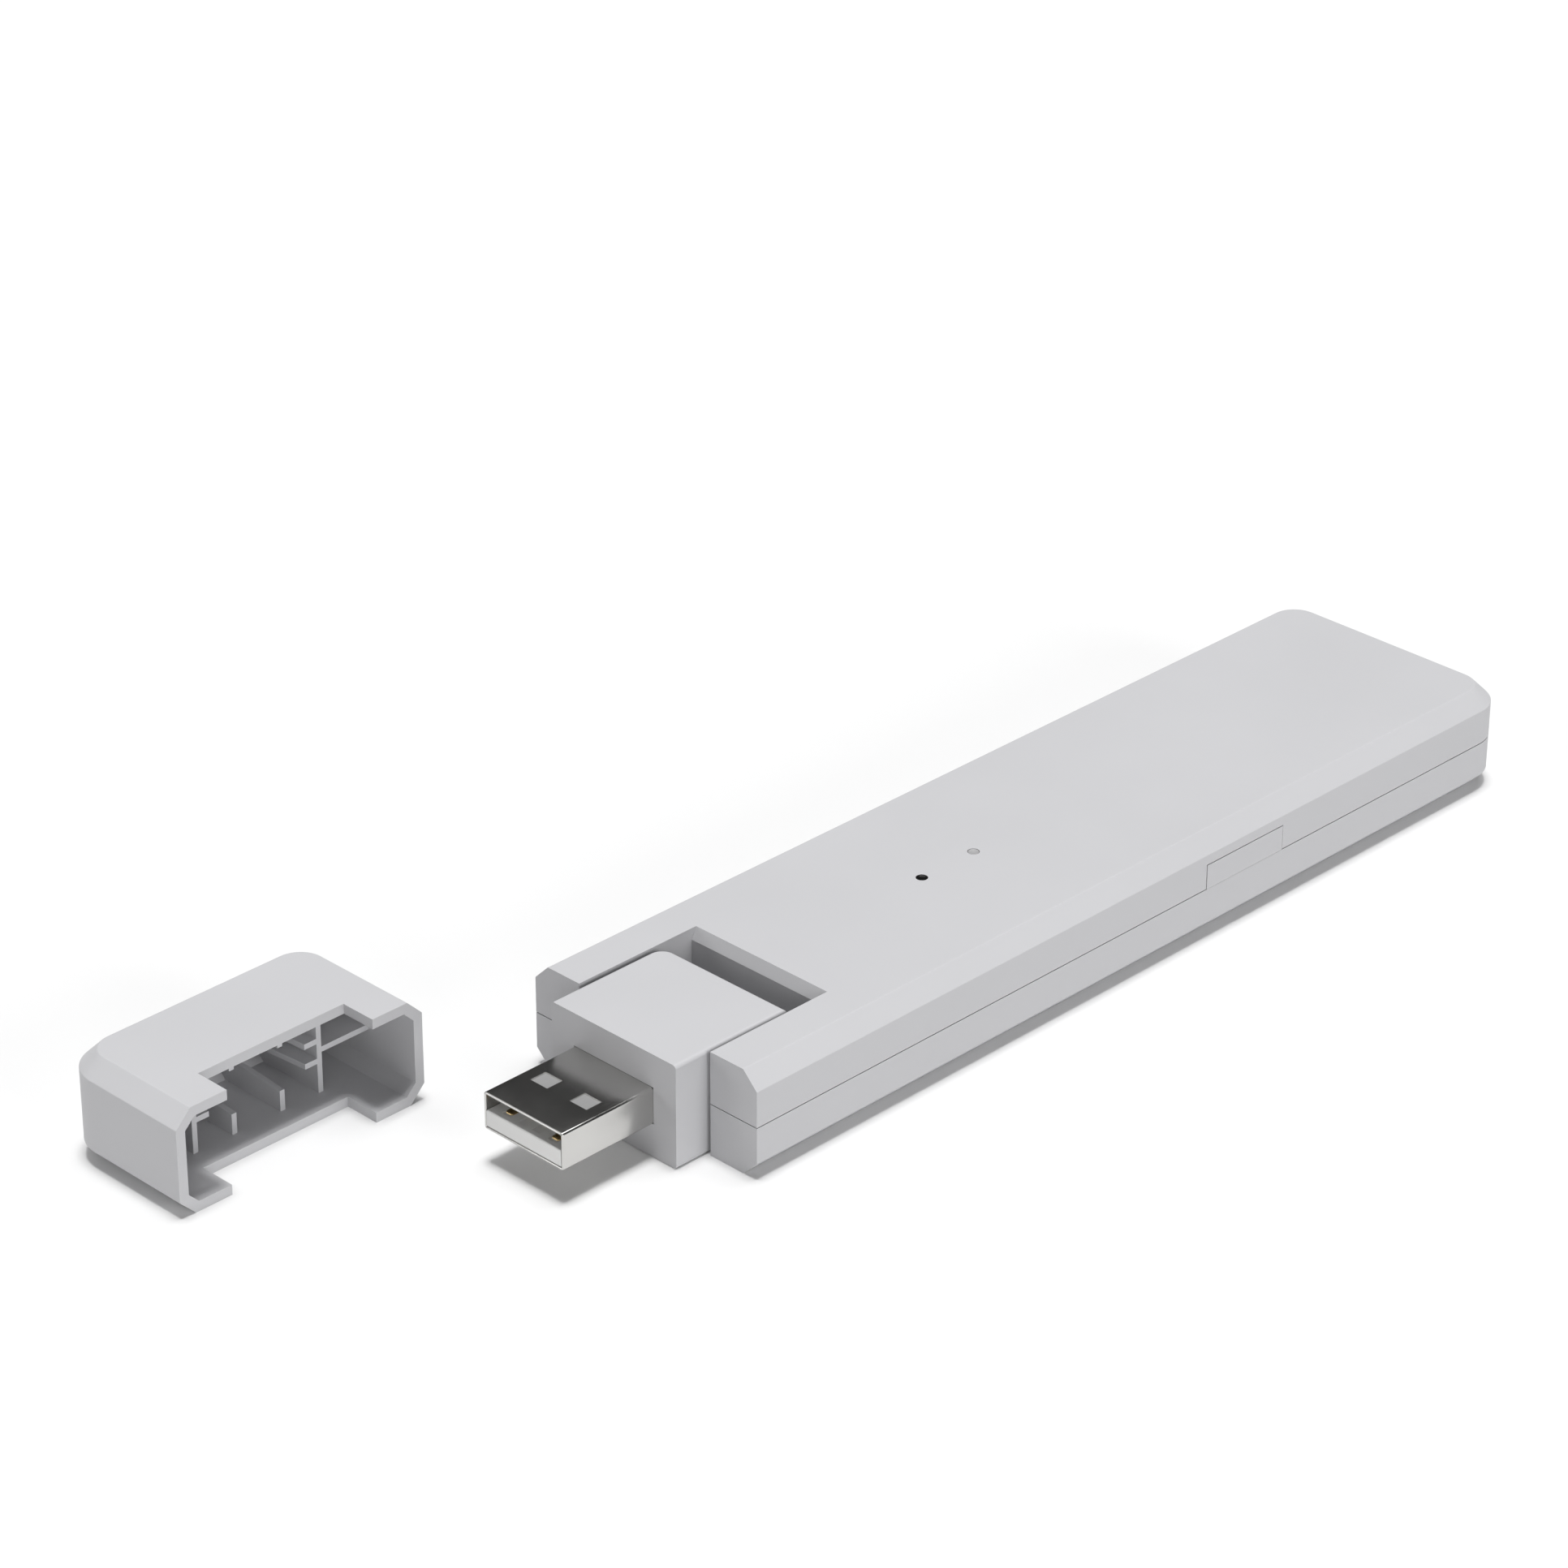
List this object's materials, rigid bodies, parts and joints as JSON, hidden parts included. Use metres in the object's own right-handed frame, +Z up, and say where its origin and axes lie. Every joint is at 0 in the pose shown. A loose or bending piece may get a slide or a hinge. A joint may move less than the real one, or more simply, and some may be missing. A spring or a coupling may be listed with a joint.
{
  "type": "usb microcontroller programmer",
  "caption": "Long flat USB stick with chamfered two-part housing, USB-A plug on a swivelling block in a front notch, a rear pin header and a pull-off cap lying beside it.",
  "frame": {"origin": "centre of the housing's flat bottom face", "axes": "+Z up out of the housing's top face, +Y along the stick from the plug towards the pin header, +X across it to the right as seen from the plug end looking along +Y"},
  "size_m": [0.0556, 0.1731, 0.0127],
  "materials": {
    "shell_plastic": "fine matt moulded ABS, pale cool grey",
    "washer_nylon": "natural nylon",
    "plug_steel": "bright nickel-plated pressed steel",
    "tongue_plastic": "satin white thermoplastic",
    "contact_gold": "gold-flashed spring strip",
    "board_green": "green solder resist on glass laminate",
    "lead_jacket": "black flexible jacket",
    "connector_white": "natural nylon",
    "chip_black": "black moulding compound",
    "lead_tin": "tinned",
    "can_steel": "drawn and plated can",
    "capacitor_ceramic": "tan ceramic",
    "capacitor_resin": "ochre moulded resin",
    "resistor_ceramic": "black glazed ceramic",
    "fuse_resin": "green resin",
    "led_resin": "clear epoxy",
    "light_pipe_dark": "smoky black polycarbonate",
    "light_pipe_frosted": "frosted grey polycarbonate",
    "screw_steel": "zinc plated",
    "header_plastic": "black glass-filled thermoplastic",
    "pin_gold": "gold-flashed"
  },
  "bodies": {
    "base": {"top_shell": "shell_plastic", "bottom_shell": "shell_plastic", "friction_washers": "washer_nylon", "usb_lead_base": "lead_jacket", "lead_plug": "connector_white", "lead_socket": "connector_white", "main_board": "board_green", "microcontroller": "chip_black", "microcontroller_leads": "lead_tin", "level_shifter": "chip_black", "level_shifter_leads": "lead_tin", "flash_memory": "chip_black", "flash_memory_leads": "lead_tin", "voltage_regulator": "chip_black", "voltage_regulator_leads": "lead_tin", "crystal": "can_steel", "ceramic_capacitors": "capacitor_ceramic", "tantalum_capacitors": "capacitor_resin", "resistors": "resistor_ceramic", "resettable_fuse": "fuse_resin", "status_leds": "led_resin", "light_pipe_front": "light_pipe_dark", "light_pipe_rear": "light_pipe_frosted", "board_screws": "screw_steel", "target_header_shroud": "header_plastic", "target_header_pins": "pin_gold"},
    "swivel": {"swivel_housing": "shell_plastic", "swivel_cover": "shell_plastic", "plug_shell": "plug_steel", "plug_insulator": "tongue_plastic", "plug_contacts": "contact_gold", "plug_board": "board_green", "usb_lead_swivel": "lead_jacket"},
    "cap": {"cap": "shell_plastic"}
  },
  "joints": [
    {"name": "plug_swivel", "type": "hinge", "parent": "base", "child": "swivel", "pos_m": [0, -0.0575, 0.00635], "axis": [1, 0, 0], "range_deg": [-90, 90]},
    {"name": "cap_pull", "type": "slide", "parent": "base", "child": "cap", "axis": [-1, 0, 0], "range_m": [0, 0.019]}
  ]
}
